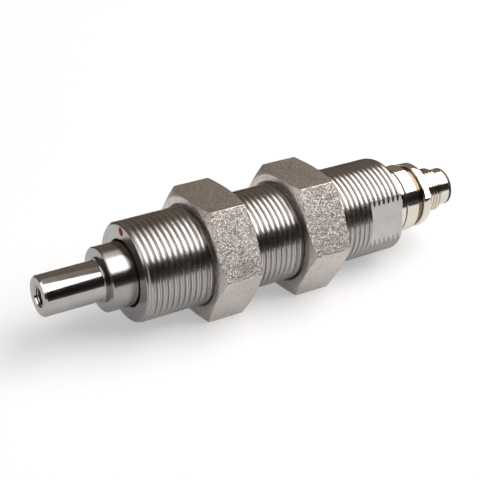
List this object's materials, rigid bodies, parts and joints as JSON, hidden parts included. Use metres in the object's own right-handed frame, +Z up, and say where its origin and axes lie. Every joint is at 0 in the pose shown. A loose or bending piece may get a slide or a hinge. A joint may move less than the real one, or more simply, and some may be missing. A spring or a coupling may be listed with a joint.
{
  "type": "cantilever tension sensor",
  "caption": "Cantilever tension sensor: bearing journal on a threaded body, clamped by two hexagon nuts, with a round plug connector at the rear.",
  "frame": {"origin": "on the axis at the middle of the bearing seat, where the load acts", "axes": "+X along the axis from the journal to the connector, +Z up from the flats of the nuts that it lies on"},
  "size_m": [0.1194, 0.0346, 0.03],
  "materials": {
    "turned_steel": "turned stainless steel with a fine rolled thread",
    "ground_steel": "ground and polished stainless steel",
    "nut_nickel": "nickel plated, fine grained",
    "plated_brass": "nickel plated, polished",
    "black_rubber": "matt",
    "bronze": "turned bronze sealing ring, satin",
    "red_enamel": "glossy enamel",
    "black_plastic": "moulded",
    "gold_plate": "gold plated",
    "gauge_film": "amber film",
    "board_green": "solder resist",
    "spacer_plastic": "natural",
    "resistor_black": "matt",
    "wire_red": "insulation",
    "wire_black": "insulation",
    "wire_green": "insulation",
    "wire_white": "insulation",
    "wire_brown": "insulation",
    "wire_blue": "insulation"
  },
  "bodies": {
    "sensor": {"threaded_body": "turned_steel", "measuring_shaft": "ground_steel", "front_seal": "black_rubber", "force_mark": "red_enamel", "locating_pin": "ground_steel", "shaft_nut": "turned_steel", "gauge_top_front": "gauge_film", "gauge_top_rear": "gauge_film", "gauge_bottom_front": "gauge_film", "gauge_bottom_rear": "gauge_film", "lead_top_left": "wire_red", "lead_top_right": "wire_black", "lead_bottom_left": "wire_green", "lead_bottom_right": "wire_white", "board_spacer": "spacer_plastic", "terminal_board": "board_green", "board_screw": "plated_brass", "zero_resistor": "resistor_black", "span_resistor": "resistor_black", "temperature_resistor": "resistor_black", "supply_plus_wire": "wire_brown", "supply_minus_wire": "wire_blue", "signal_plus_wire": "wire_white", "signal_minus_wire": "wire_black", "adapter_lock_ring": "plated_brass", "adapter_seal": "black_rubber", "connector_adapter": "plated_brass", "connector_gasket": "bronze", "connector_shell": "plated_brass", "contact_carrier": "black_plastic", "contact_pin_1": "gold_plate", "contact_pin_2": "gold_plate", "contact_pin_3": "gold_plate", "contact_pin_4": "gold_plate"},
    "front_clamp": {"front_nut": "nut_nickel"},
    "rear_clamp": {"rear_nut": "nut_nickel"}
  },
  "joints": [
    {"name": "front_nut_travel", "type": "slide", "parent": "sensor", "child": "front_clamp", "axis": [1, 0, 0], "range_m": [-0.0175, 0.0069]},
    {"name": "rear_nut_travel", "type": "slide", "parent": "sensor", "child": "rear_clamp", "axis": [1, 0, 0], "range_m": [-0.0069, 0.0205]}
  ]
}
